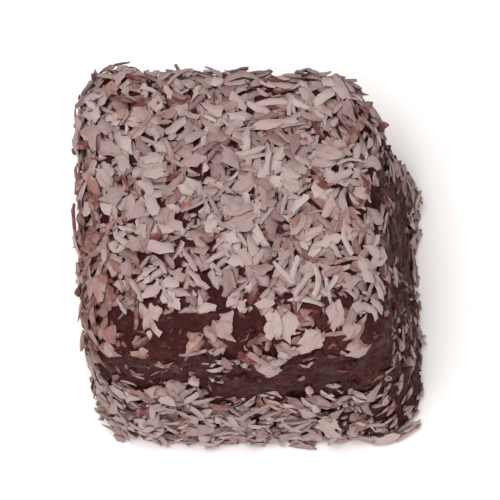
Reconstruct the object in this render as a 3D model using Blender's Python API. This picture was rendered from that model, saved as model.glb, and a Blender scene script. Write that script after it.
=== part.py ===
"""A lamington: one square of sponge cake, soaked in chocolate icing and rolled in coconut.

The cake is a single solid, taken out to the mean height of its coconut coat. It stands on its flat
base at the origin, with its front towards -Y. Its faces lean in from a wider foot, its corners and
top edges are soft and differ from each other, and the whole is slightly lumpy, as cut sponge is.
"""

import math

import bmesh
import bpy
from mathutils import Vector, noise

MM = 0.001

# Driving dimensions of the cake, coat included.
FOOT_WIDTH = 45.0 * MM
FOOT_DEPTH = 42.8 * MM
HEIGHT = 35.5 * MM

# How far each face leans in between foot and top, by its sign on X or Y. The right face leans most.
LEAN_X = {-1: 1.0 * MM, 1: 4.6 * MM}
LEAN_Y = {-1: 1.9 * MM, 1: 1.4 * MM}

# The plan isn't quite square: its front stands this much to the right of its back, per depth.
SKEW = 0.055

# Radii of the upright corners, by the signs of X and Y there.
CORNER_RADIUS = {
    (-1, -1): 6.5 * MM,
    (1, -1): 8.0 * MM,
    (-1, 1): 6.5 * MM,
    (1, 1): 10.0 * MM,
}
TOP_RADIUS = 5.3 * MM
TOP_RADIUS_SPREAD = 1.2 * MM
ROUNDEST_SIDE = math.radians(-35.0)  # direction, from +X, in which the top edge is roundest
FOOT_RADIUS = 2.2 * MM

# The top is crowned by this much from its rim to its middle, and rises by these slopes along X and Y.
CROWN = 1.2 * MM
TOP_TILT = Vector((0.010, 0.022))

# Lumps: (height, width) of each size of swelling, largest first.
LUMPS = ((0.85 * MM, 15.0 * MM), (0.32 * MM, 5.5 * MM))
LUMP_SEED = Vector((3.1, 7.7, 1.4))
LUMP_FREE_FOOT = 3.0 * MM  # the lumps fade out over this height, so that the base stays flat

CELLS_ALONG_EDGE = 26

ICING_COLOUR = (0.060, 0.020, 0.019, 1.0)
ICING_ROUGHNESS = 0.55


def clear_scene():
    for old in list(bpy.data.objects):
        bpy.data.objects.remove(old, do_unlink=True)


def icing_material():
    material = bpy.data.materials.new("coconut_and_icing")
    material.use_nodes = True
    shader = material.node_tree.nodes["Principled BSDF"]
    shader.inputs["Base Color"].default_value = ICING_COLOUR
    shader.inputs["Roughness"].default_value = ICING_ROUGHNESS
    shader.inputs["Metallic"].default_value = 0.0
    return material


def clamp(value, low, high):
    return max(low, min(high, value))


def rounded_corner(a, b, radius):
    """Takes a point (a, b), both measured inwards from the two walls of a square corner, to where it
    lies once that corner is rounded. Points further in than the radius stay."""
    past_a = max(radius - a, 0.0)
    past_b = max(radius - b, 0.0)
    length = math.hypot(past_a, past_b)
    if length == 0.0:
        return a, b
    shrink = max(past_a, past_b) / length
    return a + past_a * (1.0 - shrink), b + past_b * (1.0 - shrink)


def plan_point(x, y):
    """A point of the square plan, with its upright corner rounded, and the way inwards from there."""
    side_x = 1 if x >= 0 else -1
    side_y = 1 if y >= 0 else -1
    half_x = FOOT_WIDTH / 2
    half_y = FOOT_DEPTH / 2
    radius = CORNER_RADIUS[side_x, side_y]
    in_x, in_y = rounded_corner(half_x - abs(x), half_y - abs(y), radius)
    placed = Vector((side_x * (half_x - in_x), side_y * (half_y - in_y)))
    inwards = Vector((-side_x * max(radius - in_x, 0.0), -side_y * max(radius - in_y, 0.0)))
    if inwards.length > 0:
        inwards.normalize()
    return placed, inwards


def top_radius(x, y):
    return TOP_RADIUS + TOP_RADIUS_SPREAD * math.cos(math.atan2(y, x) - ROUNDEST_SIDE)


def rounded_block(corner):
    """Takes a point of a cube that runs from -1 to 1 to the cake's block, rounded along every edge."""
    x = corner.x * FOOT_WIDTH / 2
    y = corner.y * FOOT_DEPTH / 2
    z = (corner.z + 1.0) / 2 * HEIGHT
    placed, inwards = plan_point(x, y)
    inset = min(FOOT_WIDTH / 2 - abs(x), FOOT_DEPTH / 2 - abs(y))
    if z > HEIGHT / 2:
        rounded, below = rounded_corner(inset, HEIGHT - z, top_radius(x, y))
        z = HEIGHT - below
    else:
        rounded, z = rounded_corner(inset, z, FOOT_RADIUS)
    placed += inwards * (rounded - inset)
    return Vector((placed.x, placed.y, z))


def leant(point):
    """Leans the four faces in, each by its own amount, skews the plan, and crowns and tilts the top."""
    share = clamp(point.z / HEIGHT, 0.0, 1.0)
    lean_x = LEAN_X[1 if point.x >= 0 else -1] / (FOOT_WIDTH / 2)
    lean_y = LEAN_Y[1 if point.y >= 0 else -1] / (FOOT_DEPTH / 2)
    from_middle = clamp(math.hypot(point.x, point.y) / (FOOT_WIDTH / 2), 0.0, 1.0)
    rise = CROWN * (0.5 - from_middle**2)
    tilt = TOP_TILT.x * point.x + TOP_TILT.y * point.y
    lift = (rise + tilt) * clamp(2.0 * share - 1.0, 0.0, 1.0)
    y = point.y * (1.0 - lean_y * share)
    return Vector((point.x * (1.0 - lean_x * share) - SKEW * y, y, point.z + lift))


def lump(point):
    """How far the surface swells out at this point."""
    total = 0.0
    for height, width in LUMPS:
        total += height * noise.noise(point / width + LUMP_SEED)
    return total


def add_lumps(mesh):
    mesh.normal_update()
    moves = []
    for vertex in mesh.verts:
        fade = clamp(vertex.co.z / LUMP_FREE_FOOT, 0.0, 1.0)
        moves.append(vertex.normal * lump(vertex.co) * fade)
    for vertex, move in zip(mesh.verts, moves):
        vertex.co += move


def stand_on_origin(mesh):
    """Centres the cake on the Z axis, so that the origin is the middle of its base."""
    xs = [vertex.co.x for vertex in mesh.verts]
    ys = [vertex.co.y for vertex in mesh.verts]
    middle = Vector(((min(xs) + max(xs)) / 2, (min(ys) + max(ys)) / 2, 0.0))
    bmesh.ops.translate(mesh, verts=mesh.verts, vec=-middle)


def cake_object():
    mesh = bmesh.new()
    bmesh.ops.create_cube(mesh, size=2.0)
    bmesh.ops.subdivide_edges(mesh, edges=mesh.edges, cuts=CELLS_ALONG_EDGE - 1, use_grid_fill=True)
    for vertex in mesh.verts:
        vertex.co = leant(rounded_block(vertex.co))
    add_lumps(mesh)
    stand_on_origin(mesh)
    bmesh.ops.recalc_face_normals(mesh, faces=mesh.faces)
    data = bpy.data.meshes.new("lamington")
    mesh.to_mesh(data)
    mesh.free()
    data.shade_smooth()
    data.materials.append(icing_material())
    cake = bpy.data.objects.new("lamington", data)
    bpy.context.scene.collection.objects.link(cake)
    return cake


def main():
    clear_scene()
    cake_object()


if __name__ == "__main__":
    main()
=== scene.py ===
"""The looks of a lamington: its chocolate coat, the coconut that it was rolled in, and its crumbs.

The coat is a skin of soaked sponge, just inside the cake's own outline. Coconut is then laid on it
piece by piece. Each piece rests on the coat or on what already lies there, so that the layers build
up as they do in a tray of coconut, and they thin out over the bare patches that the cake has.
"""

import math

import bmesh
import bpy
import numpy as np
from mathutils import Matrix, Vector, kdtree, noise


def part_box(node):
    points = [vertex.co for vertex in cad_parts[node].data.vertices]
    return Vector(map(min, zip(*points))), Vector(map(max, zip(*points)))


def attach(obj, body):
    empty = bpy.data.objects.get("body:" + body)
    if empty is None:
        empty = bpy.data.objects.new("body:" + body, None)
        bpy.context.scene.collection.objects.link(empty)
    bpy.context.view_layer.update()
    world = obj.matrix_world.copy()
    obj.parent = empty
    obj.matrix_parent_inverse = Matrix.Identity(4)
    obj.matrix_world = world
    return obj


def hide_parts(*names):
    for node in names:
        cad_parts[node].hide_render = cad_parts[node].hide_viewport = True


bl_info = {
    "name": "Lamington",
    "version": (1, 0, 0),
    "blender": (4, 5, 0),
    "location": "3D View > Sidebar > Lamington",
    "description": "Makes a chocolate-coated sponge cake, rolled in desiccated coconut",
    "category": "Object",
}

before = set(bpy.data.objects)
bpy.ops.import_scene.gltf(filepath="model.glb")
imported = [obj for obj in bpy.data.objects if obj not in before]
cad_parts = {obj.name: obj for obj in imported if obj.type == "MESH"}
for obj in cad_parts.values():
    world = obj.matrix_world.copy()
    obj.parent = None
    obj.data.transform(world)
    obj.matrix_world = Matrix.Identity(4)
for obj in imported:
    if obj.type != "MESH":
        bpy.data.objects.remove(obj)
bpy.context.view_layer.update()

MM = 0.001
CAKE = "lamington"
COAT = "chocolate_coat"
BODY = "root"
LOW, HIGH = (np.array(corner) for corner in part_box(CAKE))
SPAN = HIGH - LOW
MIDDLE = (LOW + HIGH) / 2

# Where the coconut is thin: each patch runs along a line, between two points given as shares of the
# cake's box (left to right, front to back, foot to top). Reach is how far the patch spreads from the
# line, and bareness the share of the coconut that is missing in its middle.
BARE_PATCHES = (
    # start, end, reach, bareness
    ((0.14, 0.07, 0.96), (0.50, 0.06, 0.94), 9.0 * MM, 0.90),
    ((0.62, 0.12, 0.98), (0.95, 0.14, 0.94), 5.5 * MM, 0.45),
    ((0.39, 0.27, 1.00), (0.35, 0.05, 0.95), 3.2 * MM, 0.95),
    ((0.14, 0.20, 1.00), (0.24, 0.16, 0.99), 2.6 * MM, 0.70),
    ((0.67, 0.22, 1.00), (0.74, 0.20, 1.00), 2.2 * MM, 0.80),
    ((0.00, 0.00, 0.70), (0.50, 0.00, 0.68), 11.0 * MM, 0.98),
    ((0.50, 0.00, 0.67), (1.00, 0.00, 0.63), 9.5 * MM, 0.98),
    ((0.97, 0.00, 0.67), (0.97, 0.72, 0.67), 15.0 * MM, 0.98),
    ((0.99, 0.00, 0.34), (0.99, 0.70, 0.36), 14.0 * MM, 0.95),
    ((1.00, 0.04, 0.12), (1.00, 0.62, 0.14), 8.0 * MM, 0.75),
    ((0.00, 0.25, 0.45), (0.00, 0.50, 0.62), 6.0 * MM, 0.80),
    ((0.20, 1.00, 0.72), (0.45, 1.00, 0.55), 7.0 * MM, 0.85),
    ((0.75, 0.97, 0.30), (0.85, 0.95, 0.42), 4.5 * MM, 0.75),
)
PATCH_RAGGEDNESS = 2.4 * MM  # how far a patch's edge wanders over its grain
PATCH_GRAIN = 2.0 * MM
FULLY_RAGGED = 6.0 * MM  # a patch of less reach than this has a smoother edge
PATCH_SWAY = 2.6 * MM  # and how far over its broader bends
PATCH_SWAY_SIZE = 11.0 * MM
CLUMP = 2.8 * MM
THINNEST_CLUMP = 0.52  # share of the coconut that stays between two clumps

# Where chocolate has browned most of the coconut, in the same shares.
BROWNED_PATCHES = (
    # start, end, reach, share of the pieces
    ((0.00, 0.42, 0.92), (0.04, 0.02, 0.76), 8.5 * MM, 1.00),
    ((0.30, 0.02, 0.93), (0.45, 0.03, 0.86), 4.0 * MM, 0.50),
    ((0.80, 0.02, 0.70), (1.00, 0.05, 0.60), 4.5 * MM, 0.60),
    ((1.00, 0.40, 0.40), (1.00, 0.60, 0.50), 5.0 * MM, 0.40),
    ((0.10, 1.00, 0.80), (0.30, 1.00, 0.60), 6.0 * MM, 0.50),
)

# Broad, frayed flakes that stand out: a place in the same shares, their heading from the right
# towards the back, their length and width, and how brown they are.
BROAD_FLAKES = (
    # place, heading in degrees, length, width, tan
    ((0.60, 0.12, 0.95), 100, 3.8 * MM, 3.6 * MM, 0.0),
    ((0.69, 0.04, 0.90), 35, 4.8 * MM, 1.8 * MM, 0.0),
    ((0.86, 0.02, 0.86), 10, 3.8 * MM, 2.0 * MM, 0.0),
    ((0.84, 0.08, 0.93), 50, 3.8 * MM, 1.6 * MM, 0.1),
    ((0.76, 0.17, 0.97), 100, 4.2 * MM, 1.8 * MM, 0.0),
    ((0.91, 0.18, 0.95), -40, 3.4 * MM, 1.4 * MM, 0.0),
    ((0.44, 0.10, 0.95), -50, 3.4 * MM, 2.6 * MM, 0.35),
    ((0.38, 0.06, 0.93), 40, 3.0 * MM, 1.6 * MM, 1.0),
    ((0.57, 0.19, 0.98), 0, 3.0 * MM, 1.3 * MM, 0.0),
    ((0.49, 0.20, 0.98), 80, 2.0 * MM, 1.8 * MM, 0.0),
    ((0.10, 0.25, 0.95), -60, 3.8 * MM, 2.2 * MM, 0.1),
    ((0.23, 0.17, 0.97), -70, 3.0 * MM, 2.3 * MM, 0.0),
    ((0.10, 0.02, 0.85), -45, 2.8 * MM, 2.0 * MM, 0.5),
    ((0.21, 0.03, 0.88), -20, 2.6 * MM, 1.1 * MM, 0.0),
    ((0.29, 0.00, 0.78), 60, 1.6 * MM, 1.5 * MM, 0.1),
    ((0.50, 0.45, 1.00), 20, 4.6 * MM, 2.8 * MM, 0.0),
    ((0.24, 0.63, 1.00), 5, 3.8 * MM, 2.2 * MM, 0.0),
    ((0.10, 0.58, 0.99), -45, 4.0 * MM, 2.8 * MM, 0.0),
    ((0.74, 0.67, 1.00), -15, 4.6 * MM, 3.6 * MM, 0.0),
    ((0.60, 0.76, 1.00), 8, 6.0 * MM, 1.3 * MM, 0.0),
    ((0.77, 0.90, 0.98), 80, 3.6 * MM, 2.4 * MM, 0.0),
    ((0.67, 0.45, 1.00), 70, 3.4 * MM, 1.9 * MM, 0.0),
    ((0.64, 0.58, 1.00), -30, 3.0 * MM, 2.4 * MM, 0.0),
    ((0.97, 0.76, 0.58), 90, 4.0 * MM, 3.0 * MM, 0.1),
    ((0.97, 0.82, 0.46), 60, 3.4 * MM, 2.0 * MM, 0.2),
    ((0.35, 0.00, 0.20), 30, 3.6 * MM, 2.4 * MM, 0.0),
    ((0.72, 0.00, 0.24), -50, 3.4 * MM, 2.0 * MM, 0.0),
    ((0.00, 0.70, 0.50), 0, 3.8 * MM, 2.2 * MM, 0.0),
    ((0.00, 0.35, 0.24), 0, 3.2 * MM, 2.0 * MM, 0.3),
    ((0.30, 1.00, 0.30), -20, 3.8 * MM, 2.4 * MM, 0.0),
    ((0.70, 1.00, 0.62), 50, 4.0 * MM, 2.2 * MM, 0.0),
)
SIDEWAYS = 0.7  # a face whose normal is this far along X counts as the left or right side
FIBRE_WIDTH = 1.25 * MM  # a broad flake is a bundle of fibres of about this width, side by side


# ------------------------------------------------------------------------------- settings


def span_of(name, description, low, high):
    return bpy.props.FloatVectorProperty(
        name=name, description=description, size=2, default=(low, high), min=0.0, unit="LENGTH"
    )


def colour_of(name, description, *rgb):
    return bpy.props.FloatVectorProperty(
        name=name, description=description, size=3, default=rgb, min=0.0, max=1.0, subtype="COLOR"
    )


def length_of(name, description, default):
    return bpy.props.FloatProperty(
        name=name, description=description, default=default, min=0.0, unit="LENGTH"
    )


def share_of(name, description, default):
    return bpy.props.FloatProperty(
        name=name, description=description, default=default, min=0.0, max=1.0, subtype="FACTOR"
    )


def count_of(name, description, default):
    return bpy.props.IntProperty(name=name, description=description, default=default, min=0)


class CoatSettings(bpy.types.PropertyGroup):
    inset: length_of("Inset", "How far the coat lies below the mean height of the coconut", 1.00 * MM)
    clearance: length_of("Clearance", "Height of the coat's underside, for the coconut below", 0.4 * MM)
    cell: length_of("Cell", "Size of the mesh's faces", 0.42 * MM)
    swelling: length_of("Swelling", "Height of the broad lumps of the coat", 0.22 * MM)
    pitting: length_of("Pitting", "Depth of the pores of the soaked sponge", 0.20 * MM)
    # The thick chocolate's colour is set darker than real chocolate. Part of it is painted shade, standing
    # for the shade that neighbouring cakes would cast on the coat.
    colour: colour_of("Chocolate", "Colour of the chocolate where it is thick", 0.037, 0.0080, 0.0082)
    thin_colour: colour_of("Thin chocolate", "Colour where the sponge shows through", 0.074, 0.0220, 0.0200)
    roughness: share_of("Roughness", "Roughness of the dry chocolate", 0.62)


class ShredSettings(bpy.types.PropertyGroup):
    count: count_of("Count", "How many long shreds are laid", 1050)
    length: span_of("Length", "Shortest and longest shred", 2.0 * MM, 5.0 * MM)
    width: span_of("Width", "Narrowest and widest shred", 0.50 * MM, 1.05 * MM)
    thickness: span_of("Thickness", "Thinnest and thickest shred", 0.32 * MM, 0.60 * MM)


class FlakeSettings(bpy.types.PropertyGroup):
    count: count_of("Count", "How many flakes are laid", 1950)
    length: span_of("Length", "Shortest and longest flake", 1.4 * MM, 3.6 * MM)
    width: span_of("Width", "Narrowest and widest flake", 0.90 * MM, 2.00 * MM)
    thickness: span_of("Thickness", "Thinnest and thickest flake", 0.34 * MM, 0.66 * MM)


class FineSettings(bpy.types.PropertyGroup):
    count: count_of("Count", "How many fine bits are laid", 2500)
    length: span_of("Length", "Shortest and longest bit", 0.6 * MM, 1.8 * MM)
    width: span_of("Width", "Narrowest and widest bit", 0.40 * MM, 0.95 * MM)
    thickness: span_of("Thickness", "Thinnest and thickest bit", 0.30 * MM, 0.60 * MM)


class CoconutSettings(bpy.types.PropertyGroup):
    shreds: bpy.props.PointerProperty(type=ShredSettings)
    flakes: bpy.props.PointerProperty(type=FlakeSettings)
    fines: bpy.props.PointerProperty(type=FineSettings)
    pressed_in: length_of("Pressed in", "How far a piece sinks into what it lies on", 0.10 * MM)
    highest: length_of("Highest pile", "No piece is laid on a pile higher than this", 1.00 * MM)
    # The reach also sets how high painted shade darkens the coconut in the gaps between pieces, besides the
    # real chocolate stain.
    stain_and_shade_reach: length_of("Stain reach", "How far up from the chocolate coconut is stained", 0.52 * MM)
    clean: colour_of("Clean", "Colour of clean coconut", 0.455, 0.357, 0.343)
    dull: colour_of("Dull", "Colour of duller, drier coconut", 0.225, 0.132, 0.128)
    tan: colour_of("Tan", "Colour of the few pieces with brown skin or crumb on them", 0.27, 0.132, 0.104)
    stained: colour_of("Stained", "Colour of coconut soaked with chocolate", 0.125, 0.036, 0.032)
    tan_share: share_of("Tan share", "Share of the pieces that are tan", 0.08)
    seed: bpy.props.IntProperty(name="Seed", description="Changes where the coconut falls", default=7)


class CrumbSettings(bpy.types.PropertyGroup):
    count: count_of("Count", "How many crumbs stick to the coat", 700)
    size: span_of("Size", "Smallest and largest crumb", 0.35 * MM, 1.15 * MM)
    colour: colour_of("Crumb", "Colour of chocolate-soaked crumb", 0.046, 0.0115, 0.0110)
    pale_colour: colour_of("Pale crumb", "Colour of the crumb's drier grains", 0.12, 0.042, 0.034)


class StageSettings(bpy.types.PropertyGroup):
    azimuth: bpy.props.FloatProperty(
        name="Azimuth", description="How far the camera stands to the right of the front",
        default=math.radians(10.0), subtype="ANGLE")
    elevation: bpy.props.FloatProperty(
        name="Elevation", description="How high the camera stands", default=math.radians(70.5),
        subtype="ANGLE")
    distance: length_of("Distance", "From the camera to the cake's middle", 0.90)
    view_width: length_of("View width", "Width of what the camera sees at the cake", 66.0 * MM)
    floor_size: length_of("Floor size", "Side of the floor", 6.0)
    floor_colour: colour_of("Floor", "Colour of the floor", 0.92, 0.905, 0.90)
    key_power: bpy.props.FloatProperty(
        name="Key", description="Power of the large soft light overhead", default=27.0, unit="POWER")
    fill_power: bpy.props.FloatProperty(
        name="Fill", description="Power of the soft light in front", default=9.0, unit="POWER")
    sky: bpy.props.FloatProperty(name="Sky", description="Strength of the light all round", default=0.42)


class LamingtonSettings(bpy.types.PropertyGroup):
    coat: bpy.props.PointerProperty(type=CoatSettings)
    coconut: bpy.props.PointerProperty(type=CoconutSettings)
    crumbs: bpy.props.PointerProperty(type=CrumbSettings)
    stage: bpy.props.PointerProperty(type=StageSettings)


# ------------------------------------------------------------------------------- shading


class Value:
    """A number that a material works out at each point. Sums on it add Math nodes."""

    def __init__(self, paint, socket):
        self.paint = paint
        self.socket = socket

    def maths(self, operation, first, second):
        return self.paint.node("ShaderNodeMath", {"operation": operation}, {0: first, 1: second})["Value"]

    def __add__(self, other):
        return self.maths("ADD", self, other)

    __radd__ = __add__

    def __sub__(self, other):
        return self.maths("SUBTRACT", self, other)

    def __rsub__(self, other):
        return self.maths("SUBTRACT", other, self)

    def __mul__(self, other):
        return self.maths("MULTIPLY", self, other)

    __rmul__ = __mul__


class Outputs:
    """A node's outputs by name or number, as values."""

    def __init__(self, paint, node):
        self.paint = paint
        self.node = node

    def __getitem__(self, key):
        return Value(self.paint, self.node.outputs[key])


class Paint:
    """A material in the making: its Principled shader and the nodes that feed it."""

    def __init__(self, name):
        self.material = bpy.data.materials.new(name)
        self.material.use_nodes = True
        self.tree = self.material.node_tree
        self.shader = self.tree.nodes["Principled BSDF"]

    def node(self, kind, settings=None, sockets=None):
        """Adds a node, sets its settings, then fills or links its sockets."""
        made = self.tree.nodes.new(kind)
        for name, value in (settings or {}).items():
            setattr(made, name, value)
        for key, value in (sockets or {}).items():
            self.fill(made.inputs[key], value)
        return Outputs(self, made)

    def fill(self, socket, value):
        if isinstance(value, Value):
            self.tree.links.new(value.socket, socket)
        else:
            socket.default_value = value

    def shade(self, **sockets):
        """Sets or links the shader's own sockets, named with underscores for spaces."""
        for name, value in sockets.items():
            self.fill(self.shader.inputs[name.replace("_", " ")], value)

    def blend(self, share, first, second):
        """The first colour where share is 0 and the second where it is 1."""
        settings = {"data_type": "RGBA", "clamp_factor": True}
        return self.node("ShaderNodeMix", settings, {0: share, 6: first, 7: second})[2]

    def places(self):
        return self.node("ShaderNodeTexCoord")["Object"]

    def stored(self, name, output="Fac"):
        settings = {"attribute_type": "GEOMETRY", "attribute_name": name}
        return self.node("ShaderNodeAttribute", settings)[output]

    def stretched(self, vector, scale):
        return self.node("ShaderNodeVectorMath", {"operation": "MULTIPLY"}, {0: vector, 1: scale})["Vector"]

    def clouds(self, size, detail=2.0, where=None, roughness=0.5):
        """Soft noise from 0 to 1, with features about this size."""
        sockets = {"Scale": 1.0 / size, "Detail": detail, "Roughness": roughness}
        sockets["Vector"] = where or self.places()
        return self.node("ShaderNodeTexNoise", {}, sockets)["Fac"]

    def between(self, value, low, high):
        """0 where value is at low, 1 where it is at high, and smooth between."""
        settings = {"interpolation_type": "SMOOTHSTEP"}
        sockets = {"Value": value, "From Min": low, "From Max": high}
        return self.node("ShaderNodeMapRange", settings, sockets)["Result"]

    def relief(self, height, depth):
        """A normal from a height that runs from 0 to 1, over this depth in metres."""
        sockets = {"Strength": 1.0, "Distance": depth, "Height": height}
        return self.node("ShaderNodeBump", {}, sockets)["Normal"]


def rgba(colour):
    return (*colour, 1.0)


def chocolate(settings):
    """Matt, soaked chocolate with moister patches, fine grain and pores."""
    paint = Paint("chocolate")
    pores = paint.clouds(0.62 * MM, 3.0, roughness=0.6)
    grain = paint.clouds(0.24 * MM, 2.0)
    patches = paint.clouds(5.0 * MM, 2.0)
    thin = paint.between(patches * 0.7 + pores * 0.9 + grain * 0.3, 0.86, 1.24)
    moist = paint.between(paint.clouds(3.2 * MM, 3.0), 0.50, 0.66)
    relief = pores * 0.75 + grain * 0.25
    paint.shade(
        # The thick chocolate colour carries painted shade: it is darker than real chocolate.
        Base_Color=paint.blend(thin, rgba(settings.colour), rgba(settings.thin_colour)),
        Roughness=settings.roughness - moist * 0.16 + pores * 0.12,
        Coat_Weight=moist * 0.05,
        Coat_Roughness=0.30,
        Specular_IOR_Level=0.08,
        Normal=paint.relief(relief, 0.34 * MM),
    )
    return paint.material


def coconut_paint(name, settings):
    """Dry coconut: fibrous, off-white, browner towards the chocolate below it. Pieces low in the pile take
    the stained colour, partly as a real chocolate stain and partly as painted shade in the gaps between the
    pieces.
    """
    paint = Paint(name)
    grain = paint.stored("grain", "Vector")
    fibres = paint.clouds(1.0, 2.0, paint.stretched(grain, (0.9 / MM, 5.5 / MM, 5.5 / MM)))
    blots = paint.clouds(1.0, 2.0, paint.stretched(grain, (0.8 / MM, 1.3 / MM, 1.3 / MM)))
    smears = paint.between(blots, 0.38, 0.60)
    height = paint.stored("height") + (smears - 0.5) * (0.35 * MM)
    # Painted shade, in part: the lower a piece lies in the pile, the more it takes the stained colour. This
    # stands for the shade in the gaps between pieces as well as for real chocolate stain.
    low = 1 - paint.between(height, 0.0, settings.stain_and_shade_reach)
    cleanness = paint.stored("tone") + (fibres - 0.5) * 0.9
    clean = paint.blend(cleanness, rgba(settings.dull), rgba(settings.clean))
    clean = paint.blend(paint.stored("tan") * (smears * 0.85 + 0.35), clean, rgba(settings.tan))
    soaked = paint.stored("soaked") * (smears * 0.8 + 0.5) + low * 0.62 + (fibres - 0.5) * 0.3
    paint.shade(
        Base_Color=paint.blend(soaked, clean, rgba(settings.stained)),
        Roughness=0.50 + fibres * 0.25,
        Specular_IOR_Level=0.20,
        Normal=paint.relief(fibres, 0.12 * MM),
    )
    return paint.material


def crumb_paint(settings):
    paint = Paint("crumb")
    grains = paint.clouds(0.30 * MM, 3.0)
    pale = paint.between(grains + paint.stored("tone") * 0.5, 0.72, 1.0)
    paint.shade(
        Base_Color=paint.blend(pale, rgba(settings.colour), rgba(settings.pale_colour)),
        Roughness=0.60 + grains * 0.25,
        Specular_IOR_Level=0.20,
        Normal=paint.relief(grains, 0.10 * MM),
    )
    return paint.material


def floor_paint(settings):
    paint = Paint("pale_floor")
    mottle = paint.clouds(0.25, 2.0)
    paler = [min(1.0, part * 1.01) for part in settings.floor_colour]
    paint.shade(
        Base_Color=paint.blend(mottle, rgba(settings.floor_colour), rgba(paler)),
        Roughness=0.85,
    )
    return paint.material


# ------------------------------------------------------------------------------- meshes


def add_object(name, mesh, material):
    mesh.materials.append(material)
    made = bpy.data.objects.new(name, mesh)
    bpy.context.scene.collection.objects.link(made)
    return made


def numbers(items, name, width):
    """A mesh's vertex places or normals as rows of numbers."""
    flat = np.empty(len(items) * width, np.float32)
    items.foreach_get(name, flat)
    return flat.reshape(-1, width).astype(float)


def store(mesh, name, values, kind="FLOAT"):
    """Keeps a number or a vector on each vertex, for the materials."""
    attribute = mesh.attributes.new(name, kind, "POINT")
    key = "value" if kind == "FLOAT" else "vector"
    attribute.data.foreach_set(key, np.asarray(values, np.float32).ravel())


def smoothstep(values, low, high):
    share = np.clip((values - low) / (high - low), 0.0, 1.0)
    return share * share * (3.0 - 2.0 * share)


def noise_at(places, size, shift=0.0):
    """Soft noise, mostly between -0.5 and 0.5, at each place."""
    offset = Vector((shift, shift, shift))
    return np.array([noise.noise(Vector(place) / size + offset) for place in places])


def drawn_in(settings):
    """The cake's solid with its faces moved in by the coat's inset, its underside just off the floor."""
    shape = bmesh.new()
    shape.from_mesh(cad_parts[CAKE].data)
    bmesh.ops.remove_doubles(shape, verts=shape.verts, dist=0.001 * MM)
    shape.normal_update()
    squeeze = (HIGH[2] - settings.clearance) / (HIGH[2] - settings.inset)
    for vertex in shape.verts:
        vertex.co -= vertex.normal * settings.inset
        vertex.co.z = settings.clearance + (vertex.co.z - settings.inset) * squeeze
    mesh = bpy.data.meshes.new("drawn_in")
    shape.to_mesh(mesh)
    shape.free()
    return mesh


def remeshed(mesh, cell):
    """The same shape in even faces of this size."""
    holder = bpy.data.objects.new("remesh", mesh)
    bpy.context.scene.collection.objects.link(holder)
    modifier = holder.modifiers.new("even", "REMESH")
    modifier.mode = "VOXEL"
    modifier.voxel_size = cell
    modifier.use_smooth_shade = True
    shaped = holder.evaluated_get(bpy.context.evaluated_depsgraph_get())
    even = bpy.data.meshes.new_from_object(shaped)
    bpy.data.objects.remove(holder)
    bpy.data.meshes.remove(mesh)
    return even


def roughened(mesh, settings):
    """Pits and swells the coat. Its underside stays nearly flat."""
    places = numbers(mesh.vertices, "co", 3)
    normals = numbers(mesh.vertices, "normal", 3)
    swell = settings.swelling * 2 * noise_at(places, 4.5 * MM)
    lumps = settings.pitting * 1.2 * noise_at(places, 1.5 * MM, 5.0)
    pores = -settings.pitting * np.clip(noise_at(places, 1.0 * MM, 9.0) - 0.10, 0, 0.35) * 5
    free = smoothstep(places[:, 2], settings.clearance, settings.clearance + 1.5 * MM)
    places += normals * ((swell + lumps + pores) * (0.15 + 0.85 * free))[:, None]
    mesh.vertices.foreach_set("co", places.astype(np.float32).ravel())
    mesh.update()
    return mesh


# ------------------------------------------------------------------------------- laying coconut


def distance_to_line(places, start, end):
    along = end - start
    share = np.clip((places - start) @ along / (along @ along), 0.0, 1.0)
    return np.linalg.norm(places - (start + share[:, None] * along), axis=1)


def spread_of(patches, places):
    """How strong the patches are at each place, from 0 to 1."""
    grain = noise_at(places, PATCH_GRAIN, 2.0) + 0.5 * noise_at(places, PATCH_GRAIN / 2)
    ragged = PATCH_RAGGEDNESS * 2 * grain
    ragged += PATCH_SWAY * 2 * noise_at(places, PATCH_SWAY_SIZE, 6.0)
    missing = np.ones(len(places))
    for start, end, reach, strength in patches:
        far = distance_to_line(places, LOW + SPAN * start, LOW + SPAN * end)
        far += ragged * min(1.0, reach / FULLY_RAGGED)
        missing *= 1.0 - strength * (1.0 - smoothstep(far, 0.45 * reach, 1.15 * reach))
    return 1.0 - missing


class Ground:
    """The coat as points with normals, and how high coconut is piled on each already."""

    def __init__(self, mesh):
        self.points = numbers(mesh.vertices, "co", 3)
        self.normals = numbers(mesh.vertices, "normal", 3)
        self.pile = np.zeros(len(self.points))
        self.cover = 1.0 - spread_of(BARE_PATCHES, self.points)
        clumps = smoothstep(noise_at(self.points, CLUMP, 4.0), -0.35, 0.15)
        self.cover *= THINNEST_CLUMP + (1.0 - THINNEST_CLUMP) * clumps
        self.browned = spread_of(BROWNED_PATCHES, self.points)
        self.tree = kdtree.KDTree(len(self.points))
        for index, point in enumerate(self.points):
            self.tree.insert(point, index)
        self.tree.balance()

    def near(self, place, reach):
        return np.array([index for _, index, _ in self.tree.find_range(place, reach)])

    def heights(self, places):
        """How high each place is above the coat."""
        found = np.array([self.tree.find(place)[1] for place in places])
        return np.einsum("ij,ij->i", places - self.points[found], self.normals[found])


def flat_along(direction, normal):
    """The direction, laid flat on a surface with this normal, and the direction square to it there."""
    along = direction - normal * (direction @ normal)
    along /= np.linalg.norm(along)
    return along, np.cross(normal, along)


def slope_of(places, heights):
    """The slope of a stiff piece that rests on the highest point on either side of its middle."""
    left = places < 0
    if left.all() or not left.any():
        return 0.0
    low_end = np.argmax(np.where(left, heights, -np.inf))
    high_end = np.argmax(np.where(left, -np.inf, heights))
    run = places[high_end] - places[low_end]
    slope = (heights[high_end] - heights[low_end]) / max(run, 1e-6)
    return float(np.clip(slope, -STEEPEST, STEEPEST))


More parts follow.
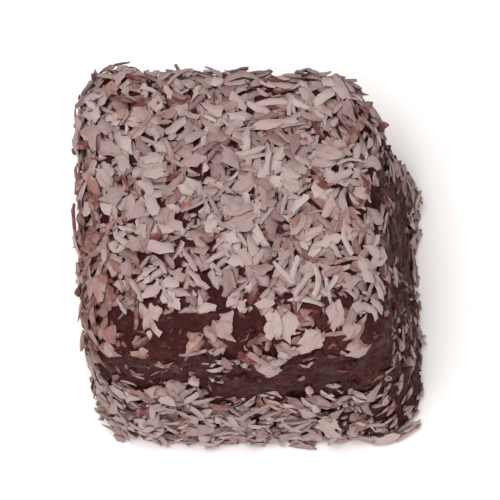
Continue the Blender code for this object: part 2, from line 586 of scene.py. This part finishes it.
def droop_of(u, base, half):
    """How much lower the ground is under a piece's ends than under its middle."""
    ends = np.abs(u) > 0.65 * half
    middle = np.abs(u) < 0.30 * half
    if not ends.any() or not middle.any():
        return 0.0
    return float(base[ends].mean() - base[middle].mean())


HEADINGS = 4  # each piece tries this many, and takes the one in which the ground is flattest
STEEPEST = 0.24
LEAN_ALONG = 0.06
LEAN_ACROSS = 0.16
FACES_SAME_WAY = 0.25
MOST_DROOP = 0.22  # as a share of the piece's length
REST_SHARE = 74  # per cent of the ground under a piece that it clears; the rest it sinks into


def free_place(ground, cling, settings, random):
    """A point of the coat where the next piece falls, or None if coconut doesn't stay there."""
    choices = random.integers(len(ground.points), size=8)
    wanted = choices[random.random(8) < ground.cover[choices] ** cling][:3]
    if len(wanted) == 0:
        return None
    start = wanted[np.argmin(ground.pile[wanted])]
    underside = ground.normals[start][2] < -0.7
    if ground.pile[start] > (0.05 * MM if underside else settings.highest):
        return None
    return start


def lay(ground, size, start, directions, settings, random):
    """Lays a piece on a point of the coat, in the best of these directions.

    Returns its middle, its three axes and its droop.
    """
    length, width, thickness = size
    leans = random.normal(0, 1, 2) * (LEAN_ALONG, LEAN_ACROSS)
    point = ground.points[start]
    normal = ground.normals[start]
    half = length / 2
    near = ground.near(point, half)
    near = near[ground.normals[near] @ normal > FACES_SAME_WAY]
    offset = ground.points[near] - point
    base = offset @ normal
    best = None
    for direction in directions:
        along, across = flat_along(direction, normal)
        u = offset @ along
        v = offset @ across
        under = np.abs(v) < width / 2
        droop = droop_of(u[under], base[under], half)
        if best is None or abs(droop) < abs(best[0]):
            best = droop, along, across, u[under], v[under], under
    droop, along, across, u, v, under = best
    near = near[under]
    base = base[under]
    droop = float(np.clip(droop, -MOST_DROOP * length, MOST_DROOP * length))
    curve = droop * (u / half) ** 2
    top = base + ground.pile[near] - curve
    slope = slope_of(u, top) + leans[0]
    roll = slope_of(v, top - slope * u) + leans[1]
    rest = np.percentile(top - slope * u - roll * v, REST_SHARE) - settings.pressed_in
    plane = rest + slope * u + roll * v + curve
    ground.pile[near] = np.maximum(ground.pile[near], plane + thickness - base)
    along = along + slope * normal
    along /= np.linalg.norm(along)
    across = across + roll * normal
    across -= along * (across @ along)
    across /= np.linalg.norm(across)
    upwards = np.cross(along, across)
    return point + normal * (rest + thickness / 2), along, across, upwards, droop


# ------------------------------------------------------------------------------- pieces' shapes


def slivers(sizes, droops, stations, sides, ragged, bluntness, random):
    """Thin, curled, irregular slivers as local points: piece, station along it, point around it."""
    count = len(sizes)
    length, width, thickness = (sizes[:, k, None] for k in range(3))
    t = np.linspace(-1, 1, stations)[None, :] * np.ones((count, 1))
    t[:, 1:-1] += random.uniform(-0.35, 0.35, (count, stations - 2)) / stations
    end_left = random.uniform(bluntness, 1.0, (count, 2))
    end_right = random.uniform(bluntness, 1.0, (count, 2))

    def outline(ends):
        towards = np.where(t < 0, ends[:, :1], ends[:, 1:])
        taper = 1 - (1 - towards) * np.abs(t) ** random.uniform(1.5, 4.0, (count, 1))
        return taper * (1 + random.normal(0, ragged, (count, stations)))

    left = outline(end_left) * width / 2
    right = outline(end_right) * width / 2
    thick = thickness / 2 * (1 - 0.45 * np.abs(t) ** 3) * (1 + random.normal(0, 0.12, (count, stations)))
    phi = np.linspace(0, 2 * math.pi, sides, endpoint=False)[None, None, :]
    phi = phi + random.normal(0, 0.12, (count, stations, sides))
    y = np.cos(phi) * np.where(np.cos(phi) > 0, right[..., None], left[..., None])
    z = np.sin(phi) * thick[..., None]
    x = t[..., None] * length[..., None] / 2 + 0 * y
    skew = random.normal(0, 0.55, (count, 2))
    at_ends = np.clip(np.abs(t) * 2.5 - 1.5, 0, 1)[..., None]
    x += at_ends * random.normal(0, 0.06, x.shape) * np.minimum(length, 2 * width)[..., None]
    x += y * np.where(t < 0, skew[:, :1], skew[:, 1:])[..., None] * at_ends
    twist = (random.normal(0, 0.30, (count, 1)) * t)[..., None]
    y, z = y * np.cos(twist) - z * np.sin(twist), y * np.sin(twist) + z * np.cos(twist)
    bend = random.normal(0, 0.07, (count, 1)) * length * t**2
    arch = random.normal(0.0, 0.035, (count, 1)) * length * (1 - t**2) + droops[:, None] * t**2
    wander = random.normal(0, 0.05, (count, stations)) * width
    y += (bend + wander)[..., None]
    z += arch[..., None]
    return np.stack((x, y, z), -1)


def sliver_faces(count, stations, sides):
    """The faces of each sliver, all turned outwards: its walls, then its two ends."""
    ring = np.arange(sides)
    after = (ring + 1) % sides
    walls = [
        (k * sides + ring[m], k * sides + after[m], (k + 1) * sides + after[m], (k + 1) * sides + ring[m])
        for k in range(stations - 1)
        for m in range(sides)
    ]
    first_end = tuple(reversed(range(sides)))
    last_end = tuple((stations - 1) * sides + m for m in range(sides))
    pattern = [*walls, first_end, last_end]
    step = stations * sides
    return [
        tuple(int(corner) + piece * step for corner in face)
        for piece in range(count)
        for face in pattern
    ]


def sliver_map(count, stations, sides):
    """A flat layout in which each sliver has a cell of its own, with its ends beside its walls."""
    across = math.ceil(math.sqrt(count))
    corners = []
    for k in range(stations - 1):
        for m in range(sides):
            for step_k, step_m in ((0, 0), (0, 1), (1, 1), (1, 0)):
                along = (k + step_k) / (stations - 1)
                around = (m + step_m) / sides
                corners.append((0.16 + 0.68 * along, 0.95 - 0.9 * around))
    for middle, order, way in ((0.08, reversed(range(sides)), -1), (0.92, range(sides), 1)):
        for m in order:
            turn = 2 * math.pi * m / sides
            corners.append((middle + 0.05 * math.cos(turn), 0.5 + way * 0.4 * math.sin(turn)))
    cell = np.array(corners)
    pieces = np.arange(count)
    origin = np.stack((pieces % across, pieces // across), 1)
    return ((origin[:, None, :] + cell[None, :, :]) / across).reshape(-1, 2)


def sliver_mesh(name, local, frames, ground, marks):
    """One mesh of every sliver of a kind, each at its own place, with what the materials need."""
    count, stations, sides = local.shape[:3]
    middles, axes = frames
    placed = middles[:, None, None, :] + np.einsum("nkmi,nij->nkmj", local, axes)
    placed[..., 2] += np.maximum(-placed[..., 2].min(axis=(1, 2)), 0.0)[:, None, None]
    placed = placed.reshape(-1, 3)
    mesh = bpy.data.meshes.new(name)
    mesh.from_pydata(placed.tolist(), [], sliver_faces(count, stations, sides))
    per_piece = stations * sides
    shift = np.arange(count)[:, None, None, None] * 7.3 * MM
    store(mesh, "grain", (local + shift).reshape(-1, 3), "FLOAT_VECTOR")
    store(mesh, "height", ground.heights(placed))
    for key, values in marks.items():
        store(mesh, key, np.repeat(values, per_piece))
    layer = mesh.uv_layers.new(name="OFBake")
    layer.data.foreach_set("uv", sliver_map(count, stations, sides).astype(np.float32).ravel())
    mesh.shade_smooth()
    mesh.set_sharp_from_angle(angle=math.radians(48.0))
    return mesh


def sizes_for(kind, count, random):
    """Length, width and thickness of each piece of a kind. Short ones are commoner than long ones."""
    shares = random.random((count, 3)) ** (1.35, 1.1, 1.0)
    spans = np.array((kind.length, kind.width, kind.thickness))
    return spans[:, 0] + shares * (spans[:, 1] - spans[:, 0])


SHREDS = 0
# name, settings, stations, sides, raggedness, bluntness of the ends, and how far it keeps off bare patches
COCONUT_KINDS = (
    ("coconut_shreds", "shreds", 6, 6, 0.12, 0.30, 1.0),
    ("coconut_flakes", "flakes", 5, 6, 0.20, 0.50, 1.0),
    ("coconut_fines", "fines", 3, 5, 0.18, 0.50, 0.60),
)


def lay_coconut(ground, settings, random):
    """Lays every kind of coconut in one mixed order. Returns the sizes and places of each kind."""
    kinds = [getattr(settings, key) for _, key, *_ in COCONUT_KINDS]
    order = np.repeat(np.arange(len(kinds)), [kind.count for kind in kinds])
    random.shuffle(order)
    sizes = [sizes_for(kind, kind.count, random) for kind in kinds]
    laid = [[] for _ in kinds]
    taken = [0] * len(kinds)
    for index in order:
        size = sizes[index][taken[index]]
        taken[index] += 1
        start = None
        while start is None:
            start = free_place(ground, COCONUT_KINDS[index][6], settings, random)
        directions = random.normal(0, 1, (HEADINGS, 3))
        laid[index].append((size, lay(ground, size, start, directions, settings, random), 0.0, 0.0))
    laid[SHREDS] += lay_broad_flakes(ground, settings, random)
    return laid


def lay_broad_flakes(ground, settings, random):
    """Lays each broad flake as fibres, side by side, with frayed ends. They lie on top of the rest."""
    laid = []
    for place, heading, length, width, tan in BROAD_FLAKES:
        middle, start, _ = ground.tree.find(LOW + SPAN * place)
        turn = math.radians(heading)
        to_right = np.array((math.cos(turn), 0.0, 0.0))
        if abs(ground.normals[start][0]) > SIDEWAYS:
            to_right = np.array((0.0, math.cos(turn), 0.0))
        direction = to_right + np.array((0.0, 1.0, 1.0)) * math.sin(turn)
        along, across = flat_along(direction, ground.normals[start])
        # Broad flakes take a tone below full cleanness. This is partly duller coconut and partly painted
        # shade, so that they are as dim as the shaded flakes at the front.
        tone = random.uniform(0.45, 0.85)
        for side in np.arange(-width / 2, width / 2, FIBRE_WIDTH * 0.60) + FIBRE_WIDTH / 3:
            shift = across * side + along * random.normal(0, 0.06) * length
            _, start, _ = ground.tree.find(np.array(middle) + shift)
            rounding = math.sqrt(max(0.25, 1 - (2 * side / (width * 1.1)) ** 2))
            size = (
                length * rounding * random.uniform(0.8, 1.1),
                FIBRE_WIDTH * random.uniform(0.8, 1.3),
                random.uniform(0.24, 0.36) * MM,
            )
            fray = along + across * (random.normal(0, 0.05) + 0.20 * side / width)
            brown = min(1.0, tan * random.uniform(0.4, 1.3))
            laid.append((size, lay(ground, size, start, [fray], settings, random), brown, tone))
    return laid


class OBJECT_OT_lamington_coat(bpy.types.Operator):
    """Makes the chocolate coat over the cake's solid"""

    bl_idname = "object.lamington_coat"
    bl_label = "Chocolate coat"

    def execute(self, context):
        settings = context.scene.lamington.coat
        mesh = roughened(remeshed(drawn_in(settings), settings.cell), settings)
        mesh.name = COAT
        mesh.shade_smooth()
        coat = add_object(COAT, mesh, chocolate(settings))
        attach(coat, BODY)
        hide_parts(CAKE)
        return {"FINISHED"}


class OBJECT_OT_lamington_coconut(bpy.types.Operator):
    """Lays the shreds, flakes and fine bits of coconut on the coat"""

    bl_idname = "object.lamington_coconut"
    bl_label = "Coconut"

    def execute(self, context):
        settings = context.scene.lamington.coconut
        random = np.random.default_rng(settings.seed)
        ground = Ground(bpy.data.objects[COAT].data)
        laid = lay_coconut(ground, settings, random)
        for (name, _, stations, sides, ragged, bluntness, _), pieces in zip(COCONUT_KINDS, laid):
            sizes, places, brown, tone = zip(*pieces)
            middles = np.array([place[0] for place in places])
            axes = np.array([place[1:4] for place in places])
            droops = np.array([place[4] for place in places])
            local = slivers(np.array(sizes), droops, stations, sides, ragged, bluntness, random)
            below = [ground.tree.find(middle)[1] for middle in middles]
            marks = {
                "tone": np.where(np.array(tone) > 0, tone, toning(middles, random)),
                "tan": np.maximum(brown, tanning(ground.browned[below], settings.tan_share, random)),
                "soaked": soaking(ground.cover[below], ground.browned[below], random) * (np.array(tone) == 0),
            }
            mesh = sliver_mesh(name, local, (middles, axes), ground, marks)
            piece = add_object(name, mesh, coconut_paint(name, settings))
            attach(piece, BODY)
        return {"FINISHED"}


def toning(places, random):
    """How clean each piece is. Pieces that lie together are rather alike."""
    return np.clip(0.58 + random.normal(0, 0.23, len(places)) + 0.55 * noise_at(places, CLUMP), 0, 1)


def tanning(browned, share, random):
    """How brown each piece is. Most of them aren't."""
    return (random.random(len(browned)) < share + browned) * random.uniform(0.5, 1, len(browned))


def soaking(cover, browned, random):
    """How far each piece is soaked with chocolate. Thin and browned places have more of them."""
    chance = 0.03 + 0.30 * (1.0 - cover)
    soaked = (random.random(len(cover)) < chance) * random.uniform(0.35, 0.95, len(cover))
    return np.maximum(soaked, browned * random.uniform(0.35, 0.75, len(cover)))


def crumb_shape():
    """A round ball of 80 faces, as points and faces."""
    ball = bmesh.new()
    bmesh.ops.create_icosphere(ball, subdivisions=2, radius=0.5)
    points = np.array([vertex.co for vertex in ball.verts])
    faces = [[vertex.index for vertex in face.verts] for face in ball.faces]
    ball.free()
    return points, faces


def crumb_mesh(ground, settings, random):
    """Small lumps of soaked sponge, each of its own shape, half sunk in the coat's bare places."""
    ball, faces = crumb_shape()
    chances = np.clip(1.05 - ground.cover, 0.02, None) * (ground.normals[:, 2] > -0.5)
    starts = random.choice(len(ground.points), settings.count, replace=False, p=chances / chances.sum())
    places, all_faces = [], []
    for number, start in enumerate(starts):
        size = settings.size[0] + random.random() ** 2 * (settings.size[1] - settings.size[0])
        along, across = flat_along(random.normal(0, 1, 3), ground.normals[start])
        axes = np.array((along, across, ground.normals[start])) * random.uniform(0.5, 1.3, (3, 1)) * size
        lumps = noise_at(ball + number * 3.1, 0.38)
        local = ball * (1 + 1.3 * lumps)[:, None]
        placed = ground.points[start] + ground.normals[start] * size * 0.05 + local @ axes
        placed[:, 2] += max(0.0, -placed[:, 2].min())
        places.append(placed)
        all_faces += [[corner + number * len(ball) for corner in face] for face in faces]
    mesh = bpy.data.meshes.new("crumbs")
    mesh.from_pydata(np.concatenate(places).tolist(), [], all_faces)
    store(mesh, "tone", np.repeat(random.random(len(starts)), len(ball)))
    mesh.shade_smooth()
    return mesh


class OBJECT_OT_lamington_crumbs(bpy.types.Operator):
    """Sticks crumbs to the bare places of the coat"""

    bl_idname = "object.lamington_crumbs"
    bl_label = "Crumbs"

    def execute(self, context):
        settings = context.scene.lamington.crumbs
        random = np.random.default_rng(context.scene.lamington.coconut.seed + 1)
        ground = Ground(bpy.data.objects[COAT].data)
        crumbs = add_object("crumbs", crumb_mesh(ground, settings, random), crumb_paint(settings))
        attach(crumbs, BODY)
        return {"FINISHED"}


# ------------------------------------------------------------------------------- stage


def aim(thing, place, target):
    thing.location = place
    thing.rotation_mode = "QUATERNION"
    thing.rotation_quaternion = (Vector(target) - Vector(place)).to_track_quat("-Z", "Y")


def soft_light(name, place, size, power, colour):
    lamp = bpy.data.lights.new(name, "AREA")
    lamp.shape = "DISK"
    lamp.size = size
    lamp.energy = power
    lamp.color = colour
    made = bpy.data.objects.new(name, lamp)
    bpy.context.scene.collection.objects.link(made)
    aim(made, place, MIDDLE)


def add_camera(settings):
    """A long lens that looks down on the cake from its front, a little from the right."""
    back = Vector((
        math.sin(settings.azimuth) * math.cos(settings.elevation),
        -math.cos(settings.azimuth) * math.cos(settings.elevation),
        math.sin(settings.elevation),
    ))
    right = (Vector((1, 0, 0)) - back * back.x).normalized()
    lens = bpy.data.cameras.new("camera")
    lens.sensor_width = 36.0
    lens.lens = lens.sensor_width * settings.distance / settings.view_width
    lens.clip_start = 0.05
    lens.clip_end = 20.0
    camera = bpy.data.objects.new("camera", lens)
    bpy.context.scene.collection.objects.link(camera)
    camera.location = Vector(MIDDLE) + back * settings.distance
    camera.rotation_mode = "QUATERNION"
    camera.rotation_quaternion = Matrix((right, back.cross(right), back)).transposed().to_quaternion()
    bpy.context.scene.camera = camera


class OBJECT_OT_lamington_stage(bpy.types.Operator):
    """Makes the floor, the lights and the camera"""

    bl_idname = "object.lamington_stage"
    bl_label = "Stage"

    def execute(self, context):
        settings = context.scene.lamington.stage
        mesh = bpy.data.meshes.new("floor")
        half = settings.floor_size / 2
        corners = [(-half, -half, 0), (half, -half, 0), (half, half, 0), (-half, half, 0)]
        mesh.from_pydata(corners, [], [(0, 1, 2, 3)])
        add_object("floor", mesh, floor_paint(settings))
        soft_light("key_light", (-0.22, -0.24, 1.7), 1.0, settings.key_power, (1.0, 0.985, 0.98))
        soft_light("fill_light", (0.25, -1.6, 0.75), 0.9, settings.fill_power, (1.0, 0.98, 0.97))
        world = bpy.data.worlds.new("studio")
        world.use_nodes = True
        world.node_tree.nodes["Background"].inputs["Color"].default_value = (1.0, 0.96, 0.95, 1.0)
        world.node_tree.nodes["Background"].inputs["Strength"].default_value = settings.sky
        context.scene.world = world
        context.scene.view_settings.view_transform = "Standard"
        add_camera(settings)
        return {"FINISHED"}


# ------------------------------------------------------------------------------- add-on


class VIEW3D_PT_lamington(bpy.types.Panel):
    bl_label = "Lamington"
    bl_space_type = "VIEW_3D"
    bl_region_type = "UI"
    bl_category = "Lamington"

    def draw(self, context):
        for operator in OPERATORS:
            self.layout.operator(operator.bl_idname)


OPERATORS = (
    OBJECT_OT_lamington_coat,
    OBJECT_OT_lamington_coconut,
    OBJECT_OT_lamington_crumbs,
    OBJECT_OT_lamington_stage,
)
CLASSES = (
    CoatSettings,
    ShredSettings,
    FlakeSettings,
    FineSettings,
    CoconutSettings,
    CrumbSettings,
    StageSettings,
    LamingtonSettings,
    *OPERATORS,
    VIEW3D_PT_lamington,
)


def register():
    for kind in CLASSES:
        bpy.utils.register_class(kind)
    bpy.types.Scene.lamington = bpy.props.PointerProperty(type=LamingtonSettings)


def unregister():
    del bpy.types.Scene.lamington
    for kind in reversed(CLASSES):
        bpy.utils.unregister_class(kind)


def main():
    register()
    bpy.ops.object.lamington_coat()
    bpy.ops.object.lamington_coconut()
    bpy.ops.object.lamington_crumbs()
    bpy.ops.object.lamington_stage()


if __name__ == "__main__":
    main()
